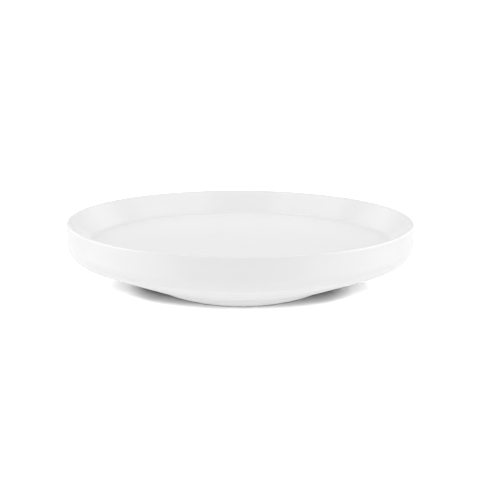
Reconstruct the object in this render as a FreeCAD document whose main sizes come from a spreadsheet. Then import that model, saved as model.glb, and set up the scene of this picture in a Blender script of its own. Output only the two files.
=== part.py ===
import FreeCAD, Part
import math
import os
import Sketcher

# Lazy susan turntable: a shallow double-walled tray that turns on a low foot.
# Millimetres, +Z up, origin on the table under the turning axis.

# Driving dimensions: alias, value, what it is.
SIZES = [
    ("radius", 150.0, "outer wall of the tray"),
    ("wall_height", 27.3, "outer wall, from its virtual lower corner to the rim"),
    ("cone_drop", 22.5, "height of the sloping underside"),
    ("foot_height", 14.2, "table to the lower edge of the sloping underside"),
    ("corner_rounding", 15.0, "outer wall to underside"),
    ("dish_depth", 19.5, "rim to the dish floor"),
    ("wall_run", 16.1, "slope of the inner wall, measured across"),
    ("rim_width", 2.6, "top of the rim, before it is rounded"),
    ("rim_rounding", 1.6, "both edges of the rim"),
    ("floor_rounding", 4.5, "inner wall to dish floor"),
    ("wall", 2.6, "skin of the tray and of the under shell"),
    ("floor_thickness", 3.0, "dish floor"),
    ("seam_inset", 14.0, "outer wall to the seam of the under shell"),
    ("seam_gap", 0.15, "width of that seam"),
    ("lip_reach", 2.5, "locating lip, past the seam"),
    ("lip_thickness", 1.8, "locating lip"),
    ("lip_play", 0.2, "locating lip to the tray"),
    ("drum_radius", 66.0, "drum of the base that carries the bearing"),
    ("drum_gap", 5.0, "drum to the under shell's opening"),
    ("flange_width", 20.5, "flat flange of the under shell"),
    ("foot_setback", 7.5, "edge of the underside to the rim of the foot"),
    ("foot_gap", 1.6, "running gap over the rim of the foot"),
    ("foot_tuck", 10.0, "drum to the ground edge of the foot"),
    ("foot_skin", 3.3, "wall of the foot, measured upright"),
    ("belly_run", 15.0, "ground edge to the fullest part of the foot, across"),
    ("belly_rise", 4.8, "ground edge to the fullest part of the foot, up"),
    ("belly_rounding", 60.0, "fullest part of the foot"),
    ("ground_rounding", 0.8, "ground edge of the foot"),
    ("pad_ring_width", 12.0, "flat ring under the foot"),
    ("base_wall", 3.0, "drum and top plate of the base"),
    ("screw_ring_width", 11.0, "thick ring under the top plate, for the screws"),
    ("screw_ring_depth", 4.0, "thick ring under the top plate"),
    ("base_rib_thickness", 2.0, "rib of the base"),
    ("base_rib_depth", 8.0, "rib of the base"),
    ("base_rib_count", 6, "ribs of the base"),
    ("pad_radius", 4.5, "rubber pad"),
    ("pad_thickness", 1.8, "rubber pad"),
    ("pad_proud", 0.6, "rubber pad, below the foot"),
    ("pad_play", 0.1, "rubber pad to its recess, around"),
    ("pad_count", 6, "rubber pads"),
    ("race_margin", 6.0, "drum to the edge of the races"),
    ("race_width", 20.0, "steel race"),
    ("race_thickness", 2.2, "steel race"),
    ("groove_depth", 1.0, "ball track in a race"),
    ("groove_play", 0.25, "track radius over ball radius"),
    ("ball_radius", 3.0, "steel ball"),
    ("ball_play", 0.1, "ball to each track"),
    ("ball_count", 12, "steel balls"),
    ("pocket_play", 0.2, "ball to its pocket in the cage"),
    ("cage_width", 9.5, "ring that spaces the balls"),
    ("cage_gap", 0.3, "cage to each race"),
    ("seat_depth", 4.9, "dish floor down to the upper race's seat"),
    ("screw_radius", 1.5, "tapping screw"),
    ("screw_head_radius", 2.8, "tapping screw"),
    ("screw_head_depth", 1.3, "tapping screw"),
    ("screw_play", 0.05, "screw to its hole"),
    ("screw_count", 6, "tapping screws in each ring"),
    ("screw_edge", 3.5, "edge of a race to its screws"),
    ("shell_screw_edge", 7.0, "edge of the flange to its screws"),
    ("race_screw_length", 7.0, "screws that hold the races"),
    ("shell_screw_length", 12.0, "screws that hold the under shell"),
    ("hole_spare", 0.6, "blind hole past its screw"),
    ("boss_radius", 4.0, "boss for a screw of the under shell"),
    ("tray_rib_thickness", 2.0, "rib under the dish floor"),
    ("tray_rib_clearance", 0.5, "upper race's seat to the lower edge of those ribs"),
    ("tray_rib_count", 12, "ribs under the dish floor"),
    ("hub_radius", 9.0, "hub under the dish floor"),
    ("base_hub_wall", 4.0, "hub of the base around its bush"),
    ("shoulder_radius", 4.0, "smooth part of the pivot screw"),
    ("thread_radius", 2.5, "threaded part of the pivot screw"),
    ("thread_spare", 2.0, "hub and floor left over the pivot screw"),
    ("head_radius", 6.5, "head of the pivot screw"),
    ("head_height", 3.0, "head of the pivot screw"),
    ("head_recess", 9.0, "table to the head of the pivot screw"),
    ("slot_width", 1.6, "driver slot of the pivot screw"),
    ("slot_depth", 1.4, "driver slot of the pivot screw"),
    ("washer_radius", 8.0, "washer"),
    ("washer_thickness", 1.5, "washer"),
    ("washer_play", 0.1, "washer around the pivot screw"),
    ("bush_wall", 2.0, "bush"),
    ("bush_flange_radius", 9.0, "flange of the bush"),
    ("bush_flange", 1.0, "flange of the bush"),
    ("bush_bore_play", 0.05, "pivot screw in the bush"),
    ("bush_seat_play", 0.02, "bush in the base"),
    ("axial_play", 0.1, "hub and washer to the bush and base"),
]

# Places worked out from the driving dimensions, each from the ones before it.
PLACES = [
    ("corner_z", "Sizes.foot_height + Sizes.cone_drop"),
    ("height", "corner_z + Sizes.wall_height"),
    ("floor_z", "height - Sizes.dish_depth"),
    ("floor_under", "floor_z - Sizes.floor_thickness"),
    ("rim_inner", "Sizes.radius - Sizes.rim_width"),
    ("floor_radius", "rim_inner - Sizes.wall_run"),
    ("dish_slope", "Sizes.dish_depth / Sizes.wall_run"),
    ("dish_offset", "Sizes.wall * sqrt(1 + dish_slope ^ 2) / dish_slope"),
    ("skirt_inner", "Sizes.radius - Sizes.wall"),
    ("skirt_root_z", "floor_z + (skirt_inner - floor_radius - dish_offset) * dish_slope"),
    ("floor_root", "floor_radius + dish_offset - Sizes.floor_thickness / dish_slope"),
    # The bearing hangs from the dish floor, and the base reaches up to it.
    ("seat_z", "floor_under - Sizes.seat_depth"),
    ("upper_race_z", "seat_z - Sizes.race_thickness"),
    ("ball_z", "upper_race_z + Sizes.groove_depth - Sizes.ball_play - Sizes.ball_radius"),
    ("lower_race_top", "ball_z - Sizes.ball_radius - Sizes.ball_play + Sizes.groove_depth"),
    ("base_top", "lower_race_top - Sizes.race_thickness"),
    ("race_outer", "Sizes.drum_radius - Sizes.race_margin"),
    ("race_inner", "race_outer - Sizes.race_width"),
    ("track_radius", "race_outer - Sizes.race_width / 2"),
    ("groove_radius", "Sizes.ball_radius + Sizes.groove_play"),
    ("race_screw_ring", "race_outer - Sizes.screw_edge"),
    # The under shell is a cone with a flat flange around the drum.
    ("flange_inner", "Sizes.drum_radius + Sizes.drum_gap"),
    ("cone_edge", "flange_inner + Sizes.flange_width"),
    ("cone_slope", "Sizes.cone_drop / (Sizes.radius - cone_edge)"),
    ("cone_skin", "Sizes.wall * sqrt(1 + cone_slope ^ 2)"),
    ("seam_radius", "Sizes.radius - Sizes.seam_inset"),
    ("flange_top", "Sizes.foot_height + Sizes.wall"),
    ("shell_screw_ring", "flange_inner + Sizes.shell_screw_edge"),
    # The foot of the base.
    ("ground_z", "Sizes.pad_proud"),
    ("ground_radius", "Sizes.drum_radius - Sizes.foot_tuck"),
    ("pad_ring_inner", "ground_radius - Sizes.pad_ring_width"),
    ("pad_circle", "ground_radius - Sizes.pad_ring_width / 2"),
    ("foot_rim", "cone_edge - Sizes.foot_setback"),
    ("foot_top", "Sizes.foot_height - Sizes.foot_gap"),
    ("belly_radius", "ground_radius + Sizes.belly_run"),
    ("belly_z", "ground_z + Sizes.belly_rise"),
    ("belly_slope", "Sizes.belly_rise / Sizes.belly_run"),
    ("rim_slope", "(foot_top - belly_z) / (foot_rim - belly_radius)"),
    ("gutter_outer", "foot_rim - Sizes.foot_skin / rim_slope"),
    ("drum_inner", "Sizes.drum_radius - Sizes.base_wall"),
    ("plate_under", "base_top - Sizes.base_wall"),
    ("screw_ring_under", "plate_under - Sizes.screw_ring_depth"),
    ("screw_ring_inner", "drum_inner - Sizes.screw_ring_width"),
    # The pivot.
    ("washer_z", "Sizes.head_recess + Sizes.head_height"),
    ("hub_under", "washer_z + Sizes.washer_thickness + Sizes.axial_play"),
    ("bush_outer", "Sizes.shoulder_radius + Sizes.bush_bore_play + Sizes.bush_wall"),
    ("bush_hole", "bush_outer + Sizes.bush_seat_play"),
    ("base_hub", "bush_hole + Sizes.base_hub_wall"),
    ("bush_top", "base_top + Sizes.bush_flange"),
    ("tray_hub_z", "bush_top + Sizes.axial_play"),
    ("thread_top", "floor_under - Sizes.thread_spare"),
]

OUTPUT = "parts"
doc = FreeCAD.newDocument("LazySusan")


def make_sheet():
    sheet = doc.addObject("Spreadsheet::Sheet", "Sizes")
    for row, (alias, value, meaning) in enumerate(SIZES, start=1):
        sheet.set(f"A{row}", str(value))
        sheet.setAlias(f"A{row}", alias)
        sheet.set(f"B{row}", meaning)
    doc.recompute()
    return sheet


def make_places():
    places = doc.addObject("App::VarSet", "Places")
    for name, rule in PLACES:
        places.addProperty("App::PropertyFloat", name, "Places", rule)
        places.setExpression(name, rule)
    doc.recompute()
    return places


sheet = make_sheet()
places = make_places()


def number(rule):
    return float(places.evalExpression(str(rule)))


def origin_feature(body, role):
    return next(part for part in body.Origin.OriginFeatures if part.Role == role)


def new_body(name):
    body = doc.addObject("PartDesign::Body", name)
    body.Label = name
    return body


def new_sketch(body, name, plane, along="0", above="0"):
    """A sketch on one of the body's own planes, moved along its x axis or off the plane."""
    sketch = body.newObject("Sketcher::SketchObject", name)
    sketch.AttachmentSupport = [(origin_feature(body, plane), "")]
    sketch.MapMode = "FlatFace"
    if along != "0":
        sketch.setExpression("AttachmentOffset.Base.x", along)
    if above != "0":
        sketch.setExpression("AttachmentOffset.Base.z", above)
    return sketch


def bind(sketch, kind, where, rule):
    """A constraint whose value follows a rule."""
    index = sketch.addConstraint(Sketcher.Constraint(kind, *where, number(rule)))
    sketch.setExpression(f"Constraints[{index}]", str(rule))


def fix_point(sketch, edge, end, x_rule, y_rule):
    """Holds a point at its coordinates; on an axis it lies on that axis."""
    axes = {"DistanceX": -2, "DistanceY": -1}
    for kind, rule in (("DistanceX", x_rule), ("DistanceY", y_rule)):
        if rule == "0":
            sketch.addConstraint(Sketcher.Constraint("PointOnObject", edge, end, axes[kind]))
        else:
            bind(sketch, kind, (-1, 1, edge, end), rule)


def tangent_points(before, corner, after, rounding):
    """Where an arc of that radius leaves the two sides of a corner, and its centre."""
    back = (before - corner).normalize()
    ahead = (after - corner).normalize()
    half = back.getAngle(ahead) / 2
    reach = rounding / math.tan(half)
    bisector = (back + ahead).normalize()
    return corner + back * reach, corner + ahead * reach, corner + bisector * (rounding / math.sin(half))


def corner_arc(start, end, centre, turn):
    radius = (start - centre).Length
    angles = [math.atan2((point - centre).y, (point - centre).x) for point in (start, end)]
    if turn < 0:
        angles.reverse()
    circle = Part.Circle(centre, FreeCAD.Vector(0, 0, 1), radius)
    return Part.ArcOfCircle(circle, angles[0], angles[1])


def outline(sketch, corners):
    """A closed outline: each corner is its two rules, and a third for a rounded one."""
    points = [FreeCAD.Vector(number(c[0]), number(c[1]), 0) for c in corners]
    count = len(corners)
    leaves, meets, arcs = list(points), list(points), {}
    for i, corner in enumerate(corners):
        if len(corner) == 3:
            before, after = points[i - 1], points[(i + 1) % count]
            meets[i], leaves[i], centre = tangent_points(before, points[i], after, number(corner[2]))
            turn = (points[i] - before).cross(after - points[i]).z
            arcs[i] = (corner_arc(meets[i], leaves[i], centre, turn), turn)
    lines = [
        sketch.addGeometry(Part.LineSegment(leaves[i], meets[(i + 1) % count]), False)
        for i in range(count)
    ]
    for i, corner in enumerate(corners):
        last = lines[i - 1]
        if i not in arcs:
            sketch.addConstraint(Sketcher.Constraint("Coincident", last, 2, lines[i], 1))
            fix_point(sketch, lines[i], 1, corner[0], corner[1])
            continue
        arc = sketch.addGeometry(arcs[i][0], False)
        first, second = (1, 2) if arcs[i][1] > 0 else (2, 1)
        sketch.addConstraint(Sketcher.Constraint("Tangent", last, 2, arc, first))
        sketch.addConstraint(Sketcher.Constraint("Tangent", arc, second, lines[i], 1))
        bind(sketch, "Radius", (arc,), corner[2])
        sharp = sketch.addGeometry(Part.Point(points[i]), True)
        fix_point(sketch, sharp, 1, corner[0], corner[1])
        sketch.addConstraint(Sketcher.Constraint("PointOnObject", sharp, 1, last))
        sketch.addConstraint(Sketcher.Constraint("PointOnObject", sharp, 1, lines[i]))


def circle(sketch, x_rule, radius_rule):
    centre = FreeCAD.Vector(number(x_rule), 0, 0)
    ring = Part.Circle(centre, FreeCAD.Vector(0, 0, 1), number(radius_rule))
    index = sketch.addGeometry(ring, False)
    fix_point(sketch, index, 3, x_rule, "0")
    bind(sketch, "Radius", (index,), radius_rule)


def turned(body, name, corners, kind="PartDesign::Revolution", along="0"):
    """An outline turned a full turn about the upright axis of its sketch."""
    sketch = new_sketch(body, name + "_outline", "XZ_Plane", along=along)
    outline(sketch, corners)
    feature = body.newObject(kind, name)
    feature.Profile = sketch
    feature.ReferenceAxis = (sketch, ["V_Axis"])
    feature.Angle = 360
    doc.recompute()
    return feature


def extruded(body, name, sketch, length_rule, kind="PartDesign::Pad", symmetric=False, upward=True):
    feature = body.newObject(kind, name)
    feature.Profile = sketch
    feature.setExpression("Length", length_rule)
    feature.Midplane = symmetric
    feature.Reversed = upward == (kind == "PartDesign::Pocket")
    doc.recompute()
    return feature


def around(body, name, feature, count_rule):
    """Copies a feature evenly about the turning axis."""
    pattern = body.newObject("PartDesign::PolarPattern", name)
    pattern.Originals = [feature]
    pattern.Axis = (origin_feature(body, "Z_Axis"), [""])
    pattern.Angle = 360
    pattern.setExpression("Occurrences", count_rule)
    body.Tip = pattern
    doc.recompute()
    return pattern


def ribs(body, name, inner, outer, high, thickness, count):
    """Upright radial ribs; inner and outer are the rules for the two lower corners."""
    sketch = new_sketch(body, name + "_outline", "XZ_Plane")
    outline(sketch, [inner, outer, (outer[0], high), (inner[0], high)])
    rib = extruded(body, name, sketch, thickness, symmetric=True)
    around(body, name + "_ring", rib, count)


def blind_holes(body, name, ring, radius, mouth, depth, count, upward=True):
    sketch = new_sketch(body, name + "_outline", "XY_Plane", above=mouth)
    circle(sketch, ring, radius)
    hole = extruded(body, name, sketch, depth, kind="PartDesign::Pocket", upward=upward)
    around(body, name + "_ring", hole, count)


def cone_line(radius, lift="0"):
    """Height of the sloping underside at a radius, or of a line that far above it."""
    return f"Sizes.foot_height + ({radius} - Places.cone_edge) * Places.cone_slope + {lift}"


def screw_outline(face, length, sign, play="0"):
    """Half a countersunk screw about its own axis: face up for +1, face down for -1."""
    head = f"Sizes.screw_head_radius + {play}"
    shank = f"Sizes.screw_radius + {play}"
    neck = f"{face} - {sign} * Sizes.screw_head_depth"
    tip = f"{face} - {sign} * ({length})"
    return [("0", face), (head, face), (shank, neck), (shank, tip), ("0", tip)]


def screws(name, ring, face, length, sign):
    """A ring of like tapping screws, one solid each."""
    body = new_body(name)
    body.AllowCompound = True
    screw = turned(body, name + "_one", screw_outline(face, length, sign), along=ring)
    around(body, name + "_ring", screw, "Sizes.screw_count")


def screw_holes(body, name, ring, face, depth, sign):
    """Countersunk clearance holes for such a ring of screws."""
    profile = screw_outline(face, depth, sign, "Sizes.screw_play")
    hole = turned(body, name, profile, kind="PartDesign::Groove", along=ring)
    around(body, name + "_ring", hole, "Sizes.screw_count")


def make_tray():
    """Dish floor, sloping inner wall, rounded rim and outer skirt, with hub, seat and ribs below."""
    body = new_body("tray")
    skirt_corner = "Places.corner_z - Sizes.wall * Places.cone_slope + Places.cone_skin"
    turned(body, "tray_section", [
        ("0", "Places.floor_z"),
        ("0", "Places.tray_hub_z"),
        ("Sizes.hub_radius", "Places.tray_hub_z"),
        ("Sizes.hub_radius", "Places.floor_under"),
        ("Places.race_inner", "Places.floor_under"),
        ("Places.race_inner", "Places.seat_z"),
        ("Places.race_outer", "Places.seat_z"),
        ("Places.race_outer", "Places.floor_under"),
        ("Places.floor_root", "Places.floor_under"),
        ("Places.skirt_inner", "Places.skirt_root_z"),
        ("Places.skirt_inner", skirt_corner, "Sizes.corner_rounding - Sizes.wall"),
        ("Places.seam_radius", cone_line("Places.seam_radius", "Places.cone_skin")),
        ("Places.seam_radius", cone_line("Places.seam_radius")),
        ("Sizes.radius", "Places.corner_z", "Sizes.corner_rounding"),
        ("Sizes.radius", "Places.height", "Sizes.rim_rounding"),
        ("Places.rim_inner", "Places.height", "Sizes.rim_rounding"),
        ("Places.floor_radius", "Places.floor_z", "Sizes.floor_rounding"),
    ])
    low = "Places.seat_z + Sizes.tray_rib_clearance"
    over_lip = "Places.cone_skin + Sizes.lip_play + Sizes.lip_thickness + Sizes.tray_rib_clearance"
    over_shell = cone_line("Places.floor_root", over_lip)
    for name, inner, outer, outer_low in (
        ("inner_rib", "Sizes.hub_radius - Sizes.wall / 2", "Places.race_inner + Sizes.wall / 2", low),
        ("outer_rib", "Places.race_outer - Sizes.wall / 2", "Places.floor_root",
         f"max({low}; {over_shell})"),
    ):
        ribs(body, name, (inner, low), (outer, outer_low),
             "Places.floor_z - Sizes.floor_thickness / 2", "Sizes.tray_rib_thickness",
             "Sizes.tray_rib_count")
    bosses = new_sketch(body, "boss_outline", "XY_Plane", above="Places.flange_top")
    circle(bosses, "Places.shell_screw_ring", "Sizes.boss_radius")
    boss = extruded(body, "boss", bosses,
                    "Places.floor_z - Sizes.floor_thickness / 2 - Places.flange_top")
    around(body, "boss_ring", boss, "Sizes.screw_count")
    pilot = "Sizes.screw_radius + Sizes.screw_play"
    blind_holes(body, "shell_pilot", "Places.shell_screw_ring", pilot, "Places.flange_top",
                "Sizes.shell_screw_length - Sizes.wall + Sizes.hole_spare", "Sizes.screw_count")
    blind_holes(body, "race_pilot", "Places.race_screw_ring", pilot, "Places.seat_z",
                "Sizes.race_screw_length - Sizes.race_thickness + Sizes.hole_spare",
                "Sizes.screw_count")
    turned(body, "pivot_thread", [
        ("0", "Places.tray_hub_z"),
        ("Sizes.thread_radius + Sizes.screw_play", "Places.tray_hub_z"),
        ("Sizes.thread_radius + Sizes.screw_play", "Places.thread_top + Sizes.hole_spare"),
        ("0", "Places.thread_top + Sizes.hole_spare"),
    ], kind="PartDesign::Groove")


def make_under_shell():
    """Sloping underside with a locating lip at the seam and a flat flange around the drum."""
    body = new_body("under_shell")
    edge = "(Places.seam_radius - Sizes.seam_gap)"
    tip = "(Places.seam_radius + Sizes.lip_reach)"
    lip_low = "Places.cone_skin + Sizes.lip_play"
    lip_high = "Places.cone_skin + Sizes.lip_play + Sizes.lip_thickness"
    root = "(Places.seam_radius - Sizes.seam_gap - Sizes.lip_reach - Sizes.lip_thickness)"
    flange_root = "(Places.cone_edge + (Sizes.wall - Places.cone_skin) / Places.cone_slope)"
    turned(body, "shell_section", [
        ("Places.flange_inner", "Sizes.foot_height"),
        ("Places.cone_edge", "Sizes.foot_height"),
        (edge, cone_line(edge)),
        (edge, cone_line(edge, lip_low)),
        (tip, cone_line(tip, lip_low)),
        (tip, cone_line(tip, lip_high)),
        (edge, cone_line(edge, lip_high)),
        (root, cone_line(root, "Places.cone_skin")),
        (flange_root, "Places.flange_top"),
        ("Places.flange_inner", "Places.flange_top"),
    ])
    screw_holes(body, "shell_screw_hole", "Places.shell_screw_ring", "Sizes.foot_height",
                "Sizes.wall + Sizes.hole_spare", -1)


def make_race(name, flat_z, track_z, sign):
    """A flat steel ring with a ball track on the face that looks at the balls."""
    body = new_body(name)
    turned(body, name + "_section", [
        ("Places.race_inner", flat_z),
        ("Places.race_outer", flat_z),
        ("Places.race_outer", track_z),
        ("Places.race_inner", track_z),
    ])
    track = new_sketch(body, name + "_track_outline", "XZ_Plane", along="Places.track_radius")
    centre_rule = f"{track_z} + {sign} * (Places.groove_radius - Sizes.groove_depth)"
    ring = Part.Circle(FreeCAD.Vector(0, number(centre_rule), 0), FreeCAD.Vector(0, 0, 1),
                       number("Places.groove_radius"))
    index = track.addGeometry(ring, False)
    fix_point(track, index, 3, "0", centre_rule)
    bind(track, "Radius", (index,), "Places.groove_radius")
    groove = body.newObject("PartDesign::Groove", name + "_track")
    groove.Profile = track
    groove.ReferenceAxis = (origin_feature(body, "Z_Axis"), [""])
    groove.Angle = 360
    doc.recompute()
    screw_holes(body, name + "_screw_hole", "Places.race_screw_ring", track_z,
                "Sizes.race_thickness + Sizes.hole_spare", sign)


def make_cage():
    """A flat ring with a round pocket that traps each ball."""
    body = new_body("ball_cage")
    low = "Places.lower_race_top + Sizes.cage_gap"
    high = "Places.upper_race_z - Sizes.cage_gap"
    inner = "Places.track_radius - Sizes.cage_width / 2"
    outer = "Places.track_radius + Sizes.cage_width / 2"
    turned(body, "cage_section", [(inner, low), (outer, low), (outer, high), (inner, high)])
    sketch = new_sketch(body, "pocket_outline", "XZ_Plane", along="Places.track_radius")
    radius = number("Sizes.ball_radius + Sizes.pocket_play")
    centre = FreeCAD.Vector(0, number("Places.ball_z"), 0)
    upright = FreeCAD.Vector(0, radius, 0)
    ball = Part.Circle(centre, FreeCAD.Vector(0, 0, 1), radius)
    arc = sketch.addGeometry(Part.ArcOfCircle(ball, -math.pi / 2, math.pi / 2), False)
    line = sketch.addGeometry(Part.LineSegment(centre + upright, centre - upright), False)
    sketch.addConstraint(Sketcher.Constraint("Coincident", arc, 2, line, 1))
    sketch.addConstraint(Sketcher.Constraint("Coincident", arc, 1, line, 2))
    sketch.addConstraint(Sketcher.Constraint("PointOnObject", line, 1, -2))
    sketch.addConstraint(Sketcher.Constraint("PointOnObject", line, 2, -2))
    fix_point(sketch, arc, 3, "0", "Places.ball_z")
    bind(sketch, "Radius", (arc,), "Sizes.ball_radius + Sizes.pocket_play")
    pocket = body.newObject("PartDesign::Groove", "pocket")
    pocket.Profile = sketch
    pocket.ReferenceAxis = (sketch, ["V_Axis"])
    pocket.Angle = 360
    doc.recompute()
    around(body, "pocket_ring", pocket, "Sizes.ball_count")


def spread(kind, name, count_name, ring, height):
    """Like primitives spaced evenly about the axis, each an object of its own."""
    made = []
    total = int(number(f"Sizes.{count_name}"))
    digits = len(str(total))
    for i in range(total):
        label = f"{name}_{i + 1:0{digits}d}"
        item = doc.addObject(kind, label)
        item.Label = label
        turn = f"(360 * {i} / Sizes.{count_name})"
        item.setExpression(".Placement.Base.x", f"({ring}) * cos{turn}")
        item.setExpression(".Placement.Base.y", f"({ring}) * sin{turn}")
        if height != "0":
            item.setExpression(".Placement.Base.z", height)
        made.append(item)
    return made


def make_balls():
    for ball in spread("Part::Sphere", "ball", "ball_count", "Places.track_radius", "Places.ball_z"):
        ball.setExpression("Radius", "Sizes.ball_radius")


def make_pads():
    for pad in spread("Part::Cylinder", "foot_pad", "pad_count", "Places.pad_circle", "0"):
        pad.setExpression("Radius", "Sizes.pad_radius")
        pad.setExpression("Height", "Sizes.pad_thickness")


def make_base():
    """Low round foot with a drum that rises inside the tray, open and ribbed below."""
    body = new_body("base")
    skin_z = "Places.ground_z + Sizes.foot_skin"
    gutter_z = skin_z + " + (Sizes.drum_radius - Places.ground_radius) * Places.belly_slope"
    inner_z = skin_z + " + (Places.drum_inner - Places.ground_radius) * Places.belly_slope"
    turned(body, "base_section", [
        ("Places.pad_ring_inner", "Places.ground_z"),
        ("Places.ground_radius", "Places.ground_z", "Sizes.ground_rounding"),
        ("Places.belly_radius", "Places.belly_z", "Sizes.belly_rounding"),
        ("Places.foot_rim", "Places.foot_top"),
        ("Places.gutter_outer", "Places.foot_top"),
        ("Places.belly_radius", "Places.belly_z + Sizes.foot_skin"),
        ("Sizes.drum_radius", gutter_z),
        ("Sizes.drum_radius", "Places.base_top"),
        ("Places.bush_hole", "Places.base_top"),
        ("Places.bush_hole", "Places.hub_under"),
        ("Places.base_hub", "Places.hub_under"),
        ("Places.base_hub", "Places.plate_under"),
        ("Places.screw_ring_inner", "Places.plate_under"),
        ("Places.screw_ring_inner", "Places.screw_ring_under"),
        ("Places.drum_inner", "Places.screw_ring_under"),
        ("Places.drum_inner", inner_z),
        ("Places.ground_radius", skin_z),
        ("Places.pad_ring_inner", skin_z),
    ])
    rib_low = "Places.plate_under - Sizes.base_rib_depth"
    ribs(body, "base_rib", ("Places.base_hub - Sizes.base_wall / 2", rib_low),
         ("Places.drum_inner + Sizes.base_wall / 2", rib_low),
         "Places.plate_under + Sizes.base_wall / 2", "Sizes.base_rib_thickness",
         "Sizes.base_rib_count")
    blind_holes(body, "pad_recess", "Places.pad_circle", "Sizes.pad_radius + Sizes.pad_play",
                "Places.ground_z", "Sizes.pad_thickness - Sizes.pad_proud", "Sizes.pad_count")
    blind_holes(body, "race_pilot_base", "Places.race_screw_ring",
                "Sizes.screw_radius + Sizes.screw_play", "Places.base_top",
                "Sizes.race_screw_length - Sizes.race_thickness + Sizes.hole_spare",
                "Sizes.screw_count", upward=False)


def make_bush():
    body = new_body("pivot_bush")
    bore = "Sizes.shoulder_radius + Sizes.bush_bore_play"
    turned(body, "bush_section", [
        (bore, "Places.hub_under"),
        ("Places.bush_outer", "Places.hub_under"),
        ("Places.bush_outer", "Places.base_top"),
        ("Sizes.bush_flange_radius", "Places.base_top"),
        ("Sizes.bush_flange_radius", "Places.bush_top"),
        (bore, "Places.bush_top"),
    ])


def make_pivot_screw():
    """Shoulder screw that ties the tray to the base and turns with the tray."""
    body = new_body("pivot_screw")
    turned(body, "pivot_section", [
        ("0", "Sizes.head_recess"),
        ("Sizes.head_radius", "Sizes.head_recess"),
        ("Sizes.head_radius", "Places.washer_z"),
        ("Sizes.shoulder_radius", "Places.washer_z"),
        ("Sizes.shoulder_radius", "Places.tray_hub_z"),
        ("Sizes.thread_radius", "Places.tray_hub_z"),
        ("Sizes.thread_radius", "Places.thread_top"),
        ("0", "Places.thread_top"),
    ])
    slot = new_sketch(body, "slot_outline", "XZ_Plane")
    half = "Sizes.slot_width / 2"
    outline(slot, [
        ("0", "Sizes.head_recess"),
        (half, "Sizes.head_recess"),
        (half, "Sizes.head_recess + Sizes.slot_depth"),
        ("0", "Sizes.head_recess + Sizes.slot_depth"),
    ])
    cut = extruded(body, "slot", slot, "4 * Sizes.head_radius", kind="PartDesign::Pocket",
                   symmetric=True)
    other = body.newObject("PartDesign::Mirrored", "slot_both")
    other.Originals = [cut]
    other.MirrorPlane = (origin_feature(body, "YZ_Plane"), [""])
    body.Tip = other
    doc.recompute()


def make_washer():
    body = new_body("pivot_washer")
    hole = "Sizes.shoulder_radius + Sizes.washer_play"
    top = "Places.washer_z + Sizes.washer_thickness"
    turned(body, "washer_section", [
        (hole, "Places.washer_z"),
        ("Sizes.washer_radius", "Places.washer_z"),
        ("Sizes.washer_radius", top),
        (hole, top),
    ])


def sub_parts():
    kinds = ("PartDesign::Body", "Part::Sphere", "Part::Cylinder")
    return [item for item in doc.Objects if item.TypeId in kinds]


def check_document():
    for item in doc.Objects:
        if "Invalid" in item.State or "Error" in item.State:
            raise RuntimeError(f"{item.Name} did not recompute: {item.State}")
    for item in sub_parts():
        if item.Shape.isNull() or not item.Shape.isValid() or item.Shape.Volume <= 0:
            raise RuntimeError(f"{item.Label} has no valid shape")


def check_cuts():
    """A cut that points away from its solid changes nothing and raises no error."""
    for item in doc.Objects:
        if item.TypeId in ("PartDesign::Pocket", "PartDesign::Groove"):
            before = item.BaseFeature.Shape.Volume
            if before - item.Shape.Volume < 0.1:
                raise RuntimeError(f"{item.Name} cuts nothing")


make_tray()
make_under_shell()
screws("shell_screws", "Places.shell_screw_ring", "Sizes.foot_height",
       "Sizes.shell_screw_length", -1)
make_race("upper_race", "Places.seat_z", "Places.upper_race_z", -1)
screws("upper_race_screws", "Places.race_screw_ring", "Places.upper_race_z",
       "Sizes.race_screw_length", -1)
make_cage()
make_balls()
make_race("lower_race", "Places.base_top", "Places.lower_race_top", 1)
screws("lower_race_screws", "Places.race_screw_ring", "Places.lower_race_top",
       "Sizes.race_screw_length", 1)
make_base()
make_bush()
make_pivot_screw()
make_washer()
make_pads()
doc.recompute()
check_document()
check_cuts()

os.makedirs(OUTPUT, exist_ok=True)
for item in sub_parts():
    item.Shape.exportStep(os.path.join(OUTPUT, item.Label + ".step"))
    solids = len(item.Shape.Solids)
    print(f"{item.Label}: {solids} solids, {item.Shape.Volume:.1f} mm3")
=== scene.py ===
import math

import bmesh
import bpy
from bpy.props import FloatProperty, FloatVectorProperty, IntProperty, PointerProperty
from bpy.types import Operator, Panel, PropertyGroup
from mathutils import Matrix, Vector


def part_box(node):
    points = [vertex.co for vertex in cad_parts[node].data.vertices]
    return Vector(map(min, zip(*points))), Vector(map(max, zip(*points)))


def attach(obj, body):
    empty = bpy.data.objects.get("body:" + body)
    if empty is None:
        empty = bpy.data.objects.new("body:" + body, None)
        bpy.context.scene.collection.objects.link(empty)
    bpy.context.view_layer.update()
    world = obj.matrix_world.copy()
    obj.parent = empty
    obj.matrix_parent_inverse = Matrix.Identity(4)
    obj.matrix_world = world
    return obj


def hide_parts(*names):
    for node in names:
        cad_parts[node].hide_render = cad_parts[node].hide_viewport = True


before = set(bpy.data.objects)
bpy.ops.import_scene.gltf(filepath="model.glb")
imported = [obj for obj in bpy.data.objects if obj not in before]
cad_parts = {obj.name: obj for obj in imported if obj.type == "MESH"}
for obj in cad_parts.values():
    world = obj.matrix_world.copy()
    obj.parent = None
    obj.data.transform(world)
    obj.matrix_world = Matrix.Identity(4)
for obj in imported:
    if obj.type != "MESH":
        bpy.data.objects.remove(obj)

bl_info = {
    "name": "Lazy susan turntable",
    "version": (1, 0, 0),
    "blender": (4, 5, 0),
    "location": "3D View > Sidebar > Turntable",
    "description": "Dresses a round white turntable, its bearing and its studio",
    "category": "Object",
}

MM = 0.001

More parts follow.
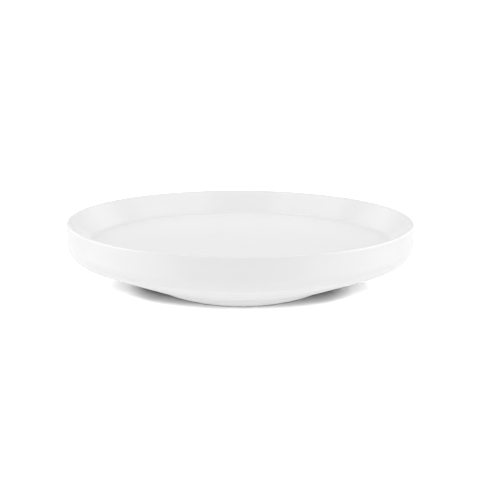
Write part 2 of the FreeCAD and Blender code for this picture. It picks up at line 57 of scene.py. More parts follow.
RACE_WIDTH = 20 * MM
TRACK_HALF_WIDTH = 2.6 * MM
RUNNING_GAP = 1.6 * MM
RIB_WIDTH = 2 * MM
RIB_OVERLAP = 1.3 * MM
RIB_SEAT_GAP = 0.5 * MM
TRAY_RIBS = 12
BOSS_COUNT = 6
BOSS_INSET = 7 * MM
BOSS_RADIUS = 4 * MM
BUSH_OUTER = 6.07 * MM
HUB_WALL = 4 * MM
RING_DROP = 4 * MM
RING_WIDTH = 11 * MM
GROUND_ROUNDING = 0.8 * MM
BASE_RIBS = 6
BASE_RIB_DROP = 8 * MM
BASE_RIB_OVERLAP = 1.5 * MM
PAD_STEPS = 48
GRIP_DEPTH = 0.3 * MM
SHELL_CREASE = 18
NORMAL_WEIGHT = 80

PLASTIC_IOR = 1.49
PRESS_RING_RATE = 9000.0
MIX_FIRST, MIX_SECOND, MIX_RESULT = 6, 7, 2

FLOOR_RADIUS = 14
BOUNCE_FLOOR_Z = -0.5 * MM
STAGE_SEGMENTS = 64
BACKDROP_HEIGHT = 10
BACKDROP_INSET = 0.1
BACKDROP_SINK = 0.01


def corners(node):
    """A node's lowest and highest corners."""
    low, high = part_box(node)
    return Vector(low), Vector(high)


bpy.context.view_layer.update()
TRAY_LOW, TRAY_HIGH = corners("tray")
SHELL_LOW, SHELL_HIGH = corners("under_shell")
BASE_LOW, BASE_HIGH = corners("base")
_, RACE_HIGH = corners("upper_race")
PAD_NODES = sorted(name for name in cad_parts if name.startswith("foot_pad"))
BALL_NODES = sorted(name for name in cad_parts
                    if name.startswith("ball_") and name != "ball_cage")
SCREW_NODES = sorted(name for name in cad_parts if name.endswith("_screws"))


def length(name, default, description):
    """A size property in metres."""
    return FloatProperty(name=name, default=default, min=0, precision=5, description=description,
                         unit="LENGTH", subtype="DISTANCE")


def colour(name, default, description):
    return FloatVectorProperty(name=name, default=default, size=3, min=0, max=1,
                               description=description, subtype="COLOR")


def strength(name, default, description):
    return FloatProperty(name=name, default=default, min=0, description=description)


class TurntableSizes(PropertyGroup):
    """Sizes of the three white mouldings, which share one outside."""
    radius: length("Radius", TRAY_HIGH.x, "Outer wall of the tray")
    height: length("Height", TRAY_HIGH.z, "Table to rim")
    corner_z: length("Corner height", SHELL_LOW.z + 22.5 * MM,
                     "Virtual corner of wall and underside")
    corner_rounding: length("Corner rounding", 15 * MM, "Outer wall to underside")
    dish_depth: length("Dish depth", 19.5 * MM, "Rim to dish floor")
    wall_run: length("Wall run", 16.1 * MM, "Slope of the inner wall, measured across")
    rim_width: length("Rim width", 2.6 * MM, "Top of the rim before rounding")
    rim_rounding: length("Rim rounding", 1.6 * MM, "Both edges of the rim")
    floor_rounding: length("Floor rounding", 4.5 * MM, "Inner wall to dish floor")
    skin: length("Skin", 2.6 * MM, "Wall thickness of tray and under shell")
    floor_thickness: length("Floor thickness", 3 * MM, "Dish floor")
    seam_radius: length("Seam radius", 136 * MM, "Seam of tray and under shell")
    seam_gap: length("Seam gap", 0.15 * MM, "Width of the seam")
    lip_play: length("Lip play", 0.2 * MM, "Locating lip to tray")
    lip_thickness: length("Lip thickness", 1.8 * MM, "Locating lip")
    edge_softness: length("Edge softness", 0.25 * MM, "Break on moulded edges")
    hub_radius: length("Hub radius", 9 * MM, "Hub under the dish floor")
    hub_z: length("Hub height", BASE_HIGH.z + 1.1 * MM, "Lower face of that hub")
    cone_edge: length("Underside edge", 91.5 * MM, "Radius where the sloping underside ends")
    flange_inner: length("Flange opening", 71 * MM, "Opening in the under shell")
    drum_radius: length("Drum", 66 * MM, "Drum of the base")
    drum_wall: length("Drum wall", 3 * MM, "Drum and top plate of the base")
    ground_radius: length("Ground edge", 56 * MM, "Radius where the foot meets the table")
    belly_run: length("Belly run", 15 * MM, "Ground edge to the fullest part of the foot, across")
    belly_rise: length("Belly rise", 4.8 * MM, "Ground edge to the fullest part of the foot, up")
    belly_rounding: length("Belly rounding", 60 * MM, "Fullest part of the foot")
    foot_skin: length("Foot skin", 3.3 * MM, "Wall of the foot, measured upright")
    pad_ring: length("Pad ring", 12 * MM, "Flat ring under the foot")
    steps: IntProperty(name="Steps", default=256, min=32, max=512,
                       description="Facets around each turned moulding")


class TurntableColours(PropertyGroup):
    """Colours of the finishes."""
    plastic: colour("White plastic", (0.86, 0.86, 0.86), "Gloss moulded plastic")
    steel: colour("Plated steel", (0.62, 0.63, 0.65), "Races and screws")
    polished: colour("Ball steel", (0.75, 0.76, 0.78), "Polished balls and tracks")
    nylon: colour("Cage nylon", (0.82, 0.80, 0.74), "Ball cage and bush")
    rubber: colour("Pad rubber", (0.055, 0.055, 0.06), "Foot pads")
    floor: colour("Studio floor", (0.1, 0.1, 0.1),
                  "Seen floor, which its own lights bring up to white")
    bounce: colour("Bounce floor", (0.85, 0.85, 0.85), "Unseen floor that lights the underside")


class StageSettings(PropertyGroup):
    """Camera and lights of the studio."""
    distance: length("Camera distance", 1.2, "Lens to the aim point")
    elevation: FloatProperty(name="Elevation", default=math.radians(11.98), subtype="ANGLE",
                             unit="ROTATION", description="Camera above the horizon")
    roll: FloatProperty(name="Roll", default=math.radians(0.25), subtype="ANGLE", unit="ROTATION",
                        description="Camera turned about its own axis")
    lens: FloatProperty(name="Lens", default=103.4, unit="CAMERA", description="Focal length in mm")
    aim_z: length("Aim height", 45 * MM, "Point that the camera looks at")
    shift_x: FloatProperty(name="Shift X", default=-0.00075, description="Lens shift")
    shift_y: FloatProperty(name="Shift Y", default=0.00154, description="Lens shift")
    sky: strength("Sky", 0.74, "Even light from all round")
    top: strength("Top panel", 0.36, "Soft panel overhead")
    sides: strength("Side panels", 1.28, "Soft panels left and right")
    front: strength("Front panel", 0.18, "Soft panel above the camera")
    back_sides: strength("Rear side panels", 0.73, "Soft panels behind, left and right")
    top_gleam: strength("Overhead gleam", 0.96, "Overhead side panels that show in the gloss alone")
    side_gleam: strength("Side gleam", 1.53, "Side panels that show in the gloss alone")
    back_gleam: strength("Rear gleam", 0.42, "Rear side panels that show in the gloss alone")
    low_gleam: strength("Low gleam", 0.44, "Panels beside the foot that show in the gloss alone")
    bounce_front: strength("Bounce light", 4.47, "Low sun on the unseen floor")
    floor_front: strength("Floor light, front", 52, "Low sun that lights the seen floor alone")
    floor_front_high: strength("Floor light, higher", 70, "Narrow sun above it")
    floor_sides: strength("Floor light, sides", 29, "Suns left and right")
    floor_back: strength("Floor light, back", 60, "Broad sun behind")


class Value:
    """A number in a node tree, with Python's operators for its maths."""

    def __init__(self, nodes, socket):
        self.nodes = nodes
        self.socket = socket

    def maths(self, operation, *values, clamp=False):
        node = self.nodes.add("ShaderNodeMath", {"operation": operation, "use_clamp": clamp},
                              list(values))
        return Value(self.nodes, node.outputs[0])

    def __add__(self, other):
        return self.maths("ADD", self, other)

    def __radd__(self, other):
        return self.maths("ADD", other, self)

    def __sub__(self, other):
        return self.maths("SUBTRACT", self, other)

    def __rsub__(self, other):
        return self.maths("SUBTRACT", other, self)

    def __mul__(self, other):
        return self.maths("MULTIPLY", self, other)

    def __rmul__(self, other):
        return self.maths("MULTIPLY", other, self)

    def __truediv__(self, other):
        return self.maths("DIVIDE", self, other)

    def __rtruediv__(self, other):
        return self.maths("DIVIDE", other, self)

    def __pow__(self, other):
        return self.maths("POWER", self, other)

    def __rpow__(self, other):
        return self.maths("POWER", other, self)

    def clamped(self):
        return self.maths("ADD", self, 0.0, clamp=True)

    def root(self):
        return self.maths("SQRT", self)

    def magnitude(self):
        return self.maths("ABSOLUTE", self)

    def sine(self):
        return self.maths("SINE", self)


class Finish:
    """One material and its nodes."""

    def __init__(self, name):
        self.material = bpy.data.materials.new(name)
        self.material.use_nodes = True
        self.tree = self.material.node_tree
        self.tree.nodes.clear()
        self.output = self.add("ShaderNodeOutputMaterial")
        self.shader = self.add("ShaderNodeBsdfPrincipled")
        self.tree.links.new(self.shader.outputs[0], self.output.inputs["Surface"])

    def add(self, kind, settings=None, values=None):
        """Any node: its type, its settings, then the values or links of its sockets."""
        node = self.tree.nodes.new(kind)
        for name, setting in (settings or {}).items():
            setattr(node, name, setting)
        pairs = values.items() if isinstance(values, dict) else enumerate(values or [])
        for key, value in pairs:
            self.put(node.inputs[key], value)
        return node

    def put(self, socket, value):
        if isinstance(value, Value):
            self.tree.links.new(value.socket, socket)
        elif isinstance(value, bpy.types.NodeSocket):
            self.tree.links.new(value, socket)
        else:
            socket.default_value = value

    def surface(self, **values):
        """Sets or links the shader's sockets; Base_Color stands for Base Color."""
        for name, value in values.items():
            self.put(self.shader.inputs[name.replace("_", " ")], value)

    def place(self):
        return self.add("ShaderNodeTexCoord").outputs["Object"]

    def noise(self, scale, detail=2.0, roughness=0.5):
        """Noise from 0 to 1; scale is lumps per metre."""
        node = self.add("ShaderNodeTexNoise", {"noise_dimensions": "3D"},
                        {"Vector": self.place(), "Scale": scale, "Detail": detail,
                         "Roughness": roughness})
        return Value(self, node.outputs[0])

    def apart(self):
        """The place's three numbers."""
        node = self.add("ShaderNodeSeparateXYZ", None, [self.place()])
        return [Value(self, socket) for socket in node.outputs]

    def radius(self):
        """Distance from the turning axis."""
        x, y, _ = self.apart()
        return (x * x + y * y).root()

    def tint(self, factor, first, second):
        node = self.add("ShaderNodeMix", {"data_type": "RGBA"})
        self.put(node.inputs["Factor"], factor)
        self.put(node.inputs[MIX_FIRST], (*first, 1))
        self.put(node.inputs[MIX_SECOND], (*second, 1))
        return node.outputs[MIX_RESULT]

    def bump(self, height, distance, strength=1.0):
        node = self.add("ShaderNodeBump", None,
                        {"Height": height, "Distance": distance, "Strength": strength})
        return node.outputs[0]


def shade(rgb, factor):
    return tuple(min(1.0, channel * factor) for channel in rgb)


def white_plastic(name, rgb):
    """Gloss moulded plastic: faint flow clouding, polish that varies a little, a soft ripple."""
    finish = Finish(name)
    clouds = finish.noise(14.0, 3.0)
    grain = finish.noise(2600.0, 2.0, 0.6)
    ripple = finish.noise(95.0, 1.0)
    polish = finish.noise(38.0, 4.0, 0.6)
    finish.surface(
        Base_Color=finish.tint(clouds, shade(rgb, 0.992), shade(rgb, 1.008)),
        Roughness=0.15 + polish * 0.06,
        IOR=PLASTIC_IOR,
        Normal=finish.bump(ripple + grain * 0.012, 0.00003),
    )
    return finish.material


def satin_plastic(name, rgb):
    """The same plastic as moulded off a matt tool, for faces that are out of sight."""
    finish = Finish(name)
    clouds = finish.noise(22.0, 3.0)
    spark = finish.noise(1900.0, 3.0, 0.65)
    finish.surface(
        Base_Color=finish.tint(clouds, shade(rgb, 0.97), rgb),
        Roughness=0.36 + spark * 0.12,
        IOR=PLASTIC_IOR,
        Normal=finish.bump(spark, 0.00004),
    )
    return finish.material


def plated_steel(name, rgb):
    """Zinc plate over pressed steel: mottled, with fine rings from the press."""
    finish = Finish(name)
    mottle = finish.noise(420.0, 5.0, 0.65)
    rings = (finish.radius() * PRESS_RING_RATE).sine() * 0.5 + 0.5
    finish.surface(
        Base_Color=finish.tint(mottle, shade(rgb, 0.82), shade(rgb, 1.1)),
        Metallic=1.0,
        Roughness=0.28 + mottle * 0.18,
        Normal=finish.bump(mottle * 0.7 + rings * 0.3, 0.00002),
    )
    return finish.material


def race_steel(name, rgb, polished, track_radius, track_half_width):
    """Plated steel whose ball track is rolled bright."""
    finish = Finish(name)
    mottle = finish.noise(380.0, 5.0, 0.65)
    off_track = ((finish.radius() - track_radius).magnitude() / track_half_width).clamped() ** 6.0
    finish.surface(
        Base_Color=finish.tint(off_track * (0.6 + mottle * 0.4), polished, shade(rgb, 0.86)),
        Metallic=1.0,
        Roughness=0.1 + off_track * (0.22 + mottle * 0.16),
        Normal=finish.bump(mottle * off_track, 0.00002),
    )
    return finish.material


def ball_steel(name, rgb):
    """Lapped bearing steel with a trace of oil."""
    finish = Finish(name)
    film = finish.noise(310.0, 3.0, 0.6)
    finish.surface(
        Base_Color=finish.tint(film, shade(rgb, 0.94), rgb),
        Metallic=1.0,
        Roughness=0.05 + film * 0.06,
    )
    return finish.material


def pad_rubber(name, rgb):
    """Matt moulded rubber with fine tooth and a little bloom."""
    finish = Finish(name)
    tooth = finish.noise(3800.0, 3.0, 0.7)
    bloom = finish.noise(260.0, 4.0, 0.6)
    finish.surface(
        Base_Color=finish.tint(bloom, rgb, shade(rgb, 1.9)),
        Roughness=0.72 + bloom * 0.16,
        Normal=finish.bump(tooth, 0.00009),
    )
    return finish.material


def studio_floor(name, rgb):
    """Plain matt paper."""
    finish = Finish(name)
    paper = finish.noise(3.0, 2.0)
    finish.surface(
        Base_Color=finish.tint(paper, shade(rgb, 0.995), rgb),
        Roughness=1.0,
        Specular_IOR_Level=0.0,
    )
    return finish.material


def studio_backdrop(name, rgb):
    """A surface that shines evenly and lights nothing else."""
    finish = Finish(name)
    finish.surface(
        Base_Color=(0, 0, 0, 1),
        Emission_Color=(*rgb, 1),
        Emission_Strength=1.0,
        Roughness=1.0,
        Specular_IOR_Level=0.0,
    )
    finish.material.cycles.emission_sampling = "NONE"
    return finish.material


def finish_for(name, make, *values):
    """The named material, made once."""
    return bpy.data.materials.get(name) or make(name, *values)


def new_piece(name, mesh, material, body, slot, *replaced):
    piece = bpy.data.objects.new(name, mesh)
    bpy.context.scene.collection.objects.link(piece)
    piece.data.materials.append(material)
    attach(piece, body)
    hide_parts(*replaced)
    return piece


def round_corner(mesh, before, vertex, after, rounding, segments):
    """Rounds one corner of an outline to a radius."""
    back = (before - vertex.co).normalized()
    ahead = (after - vertex.co).normalized()
    reach = rounding / math.tan(back.angle(ahead) / 2)
    bmesh.ops.bevel(mesh, geom=[vertex], offset=reach, offset_type="OFFSET", segments=segments,
                    profile=0.5, affect="VERTICES", material=-1)


def turned(mesh, outline, steps, closed):
    """Spins an outline of (radius, height, rounding, segments) about the upright axis."""
    points = [Vector((corner[0], 0, corner[1])) for corner in outline]
    vertices = [mesh.verts.new(point) for point in points]
    count = len(vertices)
    edges_from = 0 if closed else 1
    for i in range(edges_from, count):
        mesh.edges.new((vertices[i - 1], vertices[i]))
    for i, corner in enumerate(outline):
        if len(corner) > 2 and corner[2] > 0:
            round_corner(mesh, points[i - 1], vertices[i], points[(i + 1) % count],
                         corner[2], corner[3])
    bmesh.ops.spin(mesh, geom=mesh.verts[:] + mesh.edges[:], cent=(0, 0, 0), axis=(0, 0, 1),
                   dvec=(0, 0, 0), angle=2 * math.pi, steps=steps, use_merge=True,
                   use_duplicate=False)
    bmesh.ops.remove_doubles(mesh, verts=mesh.verts[:], dist=1e-7)
    bmesh.ops.recalc_face_normals(mesh, faces=mesh.faces[:])


def add_blocks(mesh, count, inner, outer, low, high, thickness):
    """Radial ribs, each a block with its ends at two radii."""
    for i in range(count):
        turn = Matrix.Rotation(2 * math.pi * i / count, 4, "Z")
        place = Matrix.Translation(((inner + outer) / 2, 0, (low + high) / 2))
        size = Matrix.Diagonal((outer - inner, thickness, high - low, 1))
        bmesh.ops.create_cube(mesh, size=1, matrix=turn @ place @ size)


def add_posts(mesh, count, ring, radius, low, high, segments=32):
    """Round posts on a circle."""
    for i in range(count):
        turn = Matrix.Rotation(2 * math.pi * i / count, 4, "Z")
        place = Matrix.Translation((ring, 0, (low + high) / 2))
        bmesh.ops.create_cone(mesh, cap_ends=True, segments=segments, radius1=radius,
                              radius2=radius, depth=high - low, matrix=turn @ place)


def finish_mesh(name, mesh, crease=35):
    """Writes the bmesh out with smooth faces and sharp creases."""
    data = bpy.data.meshes.new(name)
    mesh.to_mesh(data)
    mesh.free()
    data.shade_smooth()
    data.set_sharp_from_angle(angle=math.radians(crease))
    return data


def weigh_normals(piece):
    """Flat faces keep their own normal beside a rounded edge."""
    modifier = piece.modifiers.new("even_shading", "WEIGHTED_NORMAL")
    modifier.keep_sharp = True
    modifier.weight = NORMAL_WEIGHT


class Underside:
    """The sloping underside that tray and under shell share."""

    def __init__(self, sizes):
        self.sizes = sizes
        self.slope = (sizes.corner_z - SHELL_LOW.z) / (sizes.radius - sizes.cone_edge)
        self.skin = sizes.skin * math.hypot(1, self.slope)

    def z(self, radius, lift=0.0):
        return SHELL_LOW.z + (radius - self.sizes.cone_edge) * self.slope + lift


class TURNTABLE_OT_tray(Operator):
    """Tray: dish floor, sloping wall, rounded rim, outer wall, hub, seat, ribs and bosses"""
    bl_idname = "turntable.tray"
    bl_label = "Tray"

    def execute(self, context):
        sizes = context.scene.turntable_sizes
        colours = context.scene.turntable_colours
        under = Underside(sizes)
        floor = sizes.height - sizes.dish_depth
        floor_under = floor - sizes.floor_thickness
        rim_inner = sizes.radius - sizes.rim_width
        floor_radius = rim_inner - sizes.wall_run
        slope = sizes.dish_depth / sizes.wall_run
        offset = sizes.skin * math.hypot(1, slope) / slope
        skirt = sizes.radius - sizes.skin
        race_inner = RACE_HIGH.x - RACE_WIDTH
        seat = RACE_HIGH.z
        soft = sizes.edge_softness
        mesh = bmesh.new()
        turned(mesh, [
            (0, floor),
            (floor_radius * 0.35, floor),
            (floor_radius, floor, sizes.floor_rounding, 12),
            (rim_inner, sizes.height, sizes.rim_rounding, 8),
            (sizes.radius, sizes.height, sizes.rim_rounding, 12),
            (sizes.radius, sizes.corner_z, sizes.corner_rounding, 28),
            (sizes.seam_radius, under.z(sizes.seam_radius), soft, 3),
            (sizes.seam_radius, under.z(sizes.seam_radius, under.skin)),
            (skirt, sizes.corner_z - sizes.skin * under.slope + under.skin,
             sizes.corner_rounding - sizes.skin, 12),
            (skirt, floor + (skirt - floor_radius - offset) * slope),
            (floor_radius + offset - sizes.floor_thickness / slope, floor_under),
            (RACE_HIGH.x, floor_under),
            (RACE_HIGH.x, seat),
            (race_inner, seat),
            (race_inner, floor_under),
            (sizes.hub_radius, floor_under),
            (sizes.hub_radius, sizes.hub_z),
            (0, sizes.hub_z),
        ], sizes.steps, closed=False)
        rib_low = seat + RIB_SEAT_GAP
        rib_high = floor - sizes.floor_thickness / 2
        for inner, outer in ((sizes.hub_radius - RIB_OVERLAP, race_inner + RIB_OVERLAP),
                             (RACE_HIGH.x - RIB_OVERLAP, floor_radius)):
            add_blocks(mesh, TRAY_RIBS, inner, outer, rib_low, rib_high, RIB_WIDTH)
        add_posts(mesh, BOSS_COUNT, sizes.flange_inner + BOSS_INSET, BOSS_RADIUS,
                  TRAY_LOW.z, rib_high)
        material = finish_for("white_gloss", white_plastic, colours.plastic)
        piece = new_piece("tray_moulding", finish_mesh("tray_moulding", mesh), material, "tray",
                          "white_plastic", "tray")
        weigh_normals(piece)
        return {"FINISHED"}


class TURNTABLE_OT_under_shell(Operator):
    """Sloping underside with its locating lip and flange"""
    bl_idname = "turntable.under_shell"
    bl_label = "Under shell"

    def execute(self, context):
        sizes = context.scene.turntable_sizes
        colours = context.scene.turntable_colours
        under = Underside(sizes)
        edge = sizes.seam_radius - sizes.seam_gap
        tip = SHELL_HIGH.x
        root = edge - sizes.lip_thickness - (tip - sizes.seam_radius)
        low = under.skin + sizes.lip_play
        high = low + sizes.lip_thickness
        flange_top = SHELL_LOW.z + sizes.skin
        soft = sizes.edge_softness
        mesh = bmesh.new()
        turned(mesh, [
            (sizes.flange_inner, SHELL_LOW.z, soft, 3),
            (sizes.cone_edge, SHELL_LOW.z, soft * 2, 4),
            (edge, under.z(edge), soft, 3),
            (edge, under.z(edge, low)),
            (tip, under.z(tip, low)),
            (tip, under.z(tip, high)),
            (edge, under.z(edge, high)),
            (root, under.z(root, under.skin)),
            (sizes.cone_edge + (sizes.skin - under.skin) / under.slope, flange_top),
            (sizes.flange_inner, flange_top),
        ], sizes.steps, closed=True)
        material = finish_for("white_gloss", white_plastic, colours.plastic)
        piece = new_piece("underside_shell", finish_mesh("underside_shell", mesh, SHELL_CREASE),
                          material, "tray", "white_plastic", "under_shell")
        weigh_normals(piece)
        return {"FINISHED"}


class TURNTABLE_OT_base(Operator):
    """Base: round foot, drum, top plate, hub and ribs"""
    bl_idname = "turntable.base"
    bl_label = "Base"

    def execute(self, context):
        sizes = context.scene.turntable_sizes
        colours = context.scene.turntable_colours
        ground = BASE_LOW.z
        top = BASE_HIGH.z
        rim = BASE_HIGH.x
        foot_top = SHELL_LOW.z - RUNNING_GAP
        belly = sizes.ground_radius + sizes.belly_run
        belly_z = ground + sizes.belly_rise
        rise = sizes.belly_rise / sizes.belly_run
        gutter = rim - sizes.foot_skin * (rim - belly) / (foot_top - belly_z)
        drum_inner = sizes.drum_radius - sizes.drum_wall
        plate = top - sizes.drum_wall
        ring_under = plate - RING_DROP
        ring_inner = drum_inner - RING_WIDTH
        bush_low, _ = corners("pivot_bush")
        hub = BUSH_OUTER + HUB_WALL
        skin_z = ground + sizes.foot_skin
        pad_inner = sizes.ground_radius - sizes.pad_ring
        soft = sizes.edge_softness
        mesh = bmesh.new()
        turned(mesh, [
            (pad_inner, ground, soft * 2, 4),
            (sizes.ground_radius, ground, GROUND_ROUNDING, 6),
            (belly, belly_z, sizes.belly_rounding, 16),
            (rim, foot_top, soft * 2, 4),
            (gutter, foot_top, soft, 2),
            (belly, belly_z + sizes.foot_skin),
            (sizes.drum_radius, skin_z + (sizes.drum_radius - sizes.ground_radius) * rise),
            (sizes.drum_radius, top),
            (BUSH_OUTER, top),
            (BUSH_OUTER, bush_low.z),
            (hub, bush_low.z, soft * 2, 4),
            (hub, plate, soft * 3, 4),
            (ring_inner, plate),
            (ring_inner, ring_under, soft, 2),
            (drum_inner, ring_under),
            (drum_inner, skin_z + (drum_inner - sizes.ground_radius) * rise),
            (sizes.ground_radius, skin_z),
            (pad_inner, skin_z, soft * 2, 4),
        ], sizes.steps, closed=True)
        add_blocks(mesh, BASE_RIBS, hub - BASE_RIB_OVERLAP, drum_inner + BASE_RIB_OVERLAP,
                   plate - BASE_RIB_DROP, plate + BASE_RIB_OVERLAP, RIB_WIDTH)
        material = finish_for("white_gloss", white_plastic, colours.plastic)
        piece = new_piece("foot_moulding", finish_mesh("foot_moulding", mesh), material, "base",
                          "white_plastic", "base")
        weigh_normals(piece)
        return {"FINISHED"}


class TURNTABLE_OT_pads(Operator):
    """Rubber pads under the foot, each with a soft edge and a shallow grip ring"""
    bl_idname = "turntable.pads"
    bl_label = "Foot pads"

    def execute(self, context):
        colours = context.scene.turntable_colours
        material = finish_for("pad_rubber", pad_rubber, colours.rubber)
        for node in PAD_NODES:
            low, high = corners(node)
            centre = (low + high) / 2
            radius = (high.x - low.x) / 2
            mesh = bmesh.new()
            turned(mesh, [
                (0, low.z + GRIP_DEPTH),
                (radius * 0.3, low.z + GRIP_DEPTH, GRIP_DEPTH, 3),
                (radius * 0.42, low.z, GRIP_DEPTH, 4),
                (radius, low.z, 0.45 * MM, 6),
                (radius, high.z, 0.2 * MM, 3),
                (0, high.z),
            ], PAD_STEPS, closed=False)
            bmesh.ops.translate(mesh, verts=mesh.verts[:], vec=(centre.x, centre.y, 0))
            name = node.replace("foot_pad", "grip_pad")
            new_piece(name, finish_mesh(name, mesh), material, "base", "pad_rubber", node)
        return {"FINISHED"}


class TURNTABLE_OT_bearing(Operator):
    """Finishes of the races, balls, cage, bush, pivot and screws"""
    bl_idname = "turntable.bearing"
    bl_label = "Bearing and fasteners"

    def execute(self, context):
        colours = context.scene.turntable_colours
        track = RACE_HIGH.x - RACE_WIDTH / 2
        race = finish_for("race_steel", race_steel, colours.steel, colours.polished, track,
                          TRACK_HALF_WIDTH)
        screw = finish_for("screw_steel", plated_steel, colours.steel)
        ball = finish_for("ball_steel", ball_steel, colours.polished)
        nylon = finish_for("cage_nylon", satin_plastic, colours.nylon)
        finishes = {"upper_race": race, "lower_race": race, "ball_cage": nylon, "pivot_bush": nylon,
                    "pivot_screw": screw, "pivot_washer": screw}
        finishes.update({node: screw for node in SCREW_NODES})
        finishes.update({node: ball for node in BALL_NODES})
        for node, material in finishes.items():
            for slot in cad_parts[node].material_slots:
                slot.material = material
        return {"FINISHED"}


def look_at(thing, target, roll=0.0):
    """Turns a camera or light to face a point."""
    facing = (Vector(target) - thing.location).to_track_quat("-Z", "Y")
    thing.rotation_euler = (facing.to_matrix().to_4x4() @ Matrix.Rotation(roll, 4, "Z")).to_euler()


def light_only(light, listed, state):
    """Light linking: the light reaches only the listed objects, or all but them."""
    group = bpy.data.collections.new(light.name + "_reach")
    for thing in listed:
        group.objects.link(thing)
    light.light_linking.receiver_collection = group
    for entry in group.collection_objects:
        entry.light_linking.link_state = state


def add_panel(name, place, size, brightness, target=(0, 0, 0.04), turn=0.0):
    """A soft panel; brightness is its own radiance."""
    data = bpy.data.lights.new(name, "AREA")
    data.shape = "RECTANGLE"
    data.size, data.size_y = size
    data.energy = brightness * math.pi * size[0] * size[1]
    light = bpy.data.objects.new(name, data)
    light.location = place
    look_at(light, target, turn)
    light.visible_camera = False
    bpy.context.scene.collection.objects.link(light)
    return light


def add_gleam(*panel):
    """A soft panel that shows in the gloss alone."""
    light = add_panel(*panel)
    light.visible_diffuse = False
    return light


def add_sun(name, azimuth, elevation, spread, brightness):
    """A broad sun; azimuth 0 shines from the camera's side, 90 from the left."""
    data = bpy.data.lights.new(name, "SUN")
    data.angle = math.radians(spread)
    data.energy = brightness
    light = bpy.data.objects.new(name, data)
    flat = math.cos(math.radians(elevation))
    light.location = (-math.sin(math.radians(azimuth)) * flat,
                      -math.cos(math.radians(azimuth)) * flat,
                      math.sin(math.radians(elevation)))
    look_at(light, (0, 0, 0))
    bpy.context.scene.collection.objects.link(light)
    return light


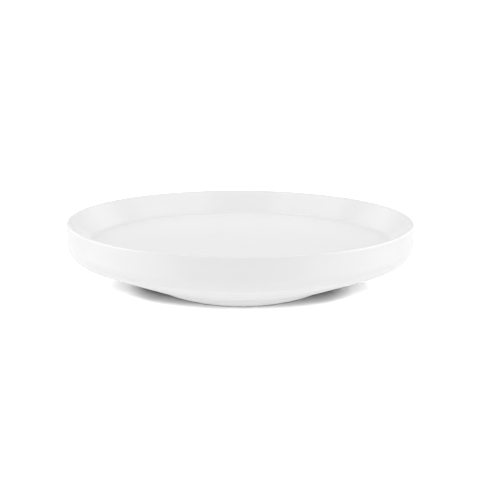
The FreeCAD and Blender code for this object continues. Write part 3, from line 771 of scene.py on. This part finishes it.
class TURNTABLE_OT_stage(Operator):
    """Pale floor, soft studio light and camera"""
    bl_idname = "turntable.stage"
    bl_label = "Studio"

    def execute(self, context):
        stage = context.scene.turntable_stage
        colours = context.scene.turntable_colours
        floor = self.add_floor("studio_floor", colours.floor, 0)
        floor.visible_diffuse = floor.visible_glossy = floor.visible_shadow = False
        bounce = self.add_floor("bounce_floor", colours.bounce, BOUNCE_FLOOR_Z)
        bounce.visible_camera = False
        wall = self.add_backdrop("studio_backdrop")
        wall.visible_diffuse = wall.visible_glossy = False
        wall.visible_transmission = wall.visible_shadow = False
        self.add_sky(context.scene, stage.sky)
        for light in self.object_lights(stage):
            light_only(light, [floor, bounce], "EXCLUDE")
        for light in self.floor_lights(stage):
            light_only(light, [floor], "INCLUDE")
        for light in self.bounce_lights(stage):
            light_only(light, [bounce], "INCLUDE")
        self.add_camera(context.scene, stage)
        context.scene.view_settings.view_transform = "Standard"
        return {"FINISHED"}

    def add_floor(self, name, rgb, height):
        mesh = bmesh.new()
        bmesh.ops.create_circle(mesh, cap_ends=True, segments=STAGE_SEGMENTS, radius=FLOOR_RADIUS,
                                matrix=Matrix.Translation((0, 0, height)))
        return self.add_stage_piece(name, mesh, finish_for(name, studio_floor, rgb))

    def add_backdrop(self, name):
        """A white wall round the floor's edge, so that a low view has no horizon."""
        mesh = bmesh.new()
        radius = FLOOR_RADIUS - BACKDROP_INSET
        middle = (0, 0, BACKDROP_HEIGHT / 2 - BACKDROP_SINK)
        bmesh.ops.create_cone(mesh, cap_ends=False, segments=STAGE_SEGMENTS, radius1=radius,
                              radius2=radius, depth=BACKDROP_HEIGHT,
                              matrix=Matrix.Translation(middle))
        bmesh.ops.reverse_faces(mesh, faces=mesh.faces)
        return self.add_stage_piece(name, mesh, finish_for(name, studio_backdrop, (1, 1, 1)))

    def add_stage_piece(self, name, mesh, material):
        data = bpy.data.meshes.new(name)
        mesh.to_mesh(data)
        mesh.free()
        data.materials.append(material)
        piece = bpy.data.objects.new(name, data)
        bpy.context.scene.collection.objects.link(piece)
        return piece

    def add_sky(self, scene, brightness):
        scene.world = bpy.data.worlds.new("studio_sky")
        scene.world.use_nodes = True
        background = scene.world.node_tree.nodes["Background"]
        background.inputs["Color"].default_value = (1, 1, 1, 1)
        background.inputs["Strength"].default_value = brightness

    def object_lights(self, stage):
        yield add_panel("top_panel", (0, 0.1, 1.3), (1.1, 1.1), stage.top)
        yield add_panel("front_panel", (0, -1.5, 0.9), (1.2, 0.8), stage.front)
        for side in (-1, 1):
            hand = "left" if side < 0 else "right"
            yield add_panel(f"{hand}_panel", (side * 1.1, -0.1, 0.6), (0.9, 0.9), stage.sides)
            yield add_panel(f"{hand}_back_panel", (side, 0.9, 0.6), (0.8, 0.8), stage.back_sides)
            for name, place, size, brightness in (
                    ("top_gleam", (0.8, 0, 1.05), (0.7, 1.2), stage.top_gleam),
                    ("side_gleam", (0.9, -0.1, 0.3), (1, 0.6), stage.side_gleam),
                    ("back_gleam", (0.9, 1.1, 0.35), (0.7, 0.5), stage.back_gleam)):
                yield add_gleam(f"{hand}_{name}", (side * place[0], *place[1:]), size, brightness)
            yield add_gleam(f"{hand}_low_gleam", (side * 0.34, -0.22, 0.002), (0.34, 0.4),
                            stage.low_gleam, (side * 0.34, -0.22, 1), math.radians(-45 * side))

    def floor_lights(self, stage):
        yield add_sun("floor_front_sun", 0, 18, 8, stage.floor_front)
        yield add_sun("floor_front_high_sun", 0, 23, 5, stage.floor_front_high)
        yield add_sun("floor_back_sun", 180, 40, 40, stage.floor_back)
        yield add_sun("floor_left_sun", 90, 33, 12, stage.floor_sides)
        yield add_sun("floor_right_sun", -90, 33, 12, stage.floor_sides)

    def bounce_lights(self, stage):
        yield add_sun("bounce_front_sun", 0, 18, 14, stage.bounce_front)

    def add_camera(self, scene, stage):
        data = bpy.data.cameras.new("studio_camera")
        data.lens = stage.lens
        data.sensor_width = 36
        data.shift_x = stage.shift_x
        data.shift_y = stage.shift_y
        data.clip_end = 100
        camera = bpy.data.objects.new("studio_camera", data)
        aim = Vector((0, 0, stage.aim_z))
        camera.location = aim + stage.distance * Vector((0, -math.cos(stage.elevation),
                                                         math.sin(stage.elevation)))
        look_at(camera, aim, stage.roll)
        scene.collection.objects.link(camera)
        scene.camera = camera


OPERATORS = (
    TURNTABLE_OT_tray,
    TURNTABLE_OT_under_shell,
    TURNTABLE_OT_base,
    TURNTABLE_OT_pads,
    TURNTABLE_OT_bearing,
    TURNTABLE_OT_stage,
)


class TURNTABLE_PT_panel(Panel):
    """The turntable's pieces, in the order that they are made"""
    bl_label = "Turntable"
    bl_idname = "TURNTABLE_PT_panel"
    bl_space_type = "VIEW_3D"
    bl_region_type = "UI"
    bl_category = "Turntable"

    def draw(self, context):
        for operator in OPERATORS:
            self.layout.operator(operator.bl_idname)
        for group in (context.scene.turntable_sizes, context.scene.turntable_colours,
                      context.scene.turntable_stage):
            box = self.layout.box()
            for name in group.__annotations__:
                box.prop(group, name)


PROPERTY_GROUPS = {
    "turntable_sizes": TurntableSizes,
    "turntable_colours": TurntableColours,
    "turntable_stage": StageSettings,
}


def register():
    for name, group in PROPERTY_GROUPS.items():
        bpy.utils.register_class(group)
        setattr(bpy.types.Scene, name, PointerProperty(type=group))
    for item in (*OPERATORS, TURNTABLE_PT_panel):
        bpy.utils.register_class(item)


def unregister():
    for item in (TURNTABLE_PT_panel, *reversed(OPERATORS)):
        bpy.utils.unregister_class(item)
    for name, group in PROPERTY_GROUPS.items():
        delattr(bpy.types.Scene, name)
        bpy.utils.unregister_class(group)


def main():
    register()
    bpy.ops.turntable.tray()
    bpy.ops.turntable.under_shell()
    bpy.ops.turntable.base()
    bpy.ops.turntable.pads()
    bpy.ops.turntable.bearing()
    bpy.ops.turntable.stage()
    bpy.context.view_layer.update()


if __name__ == "__main__":
    main()
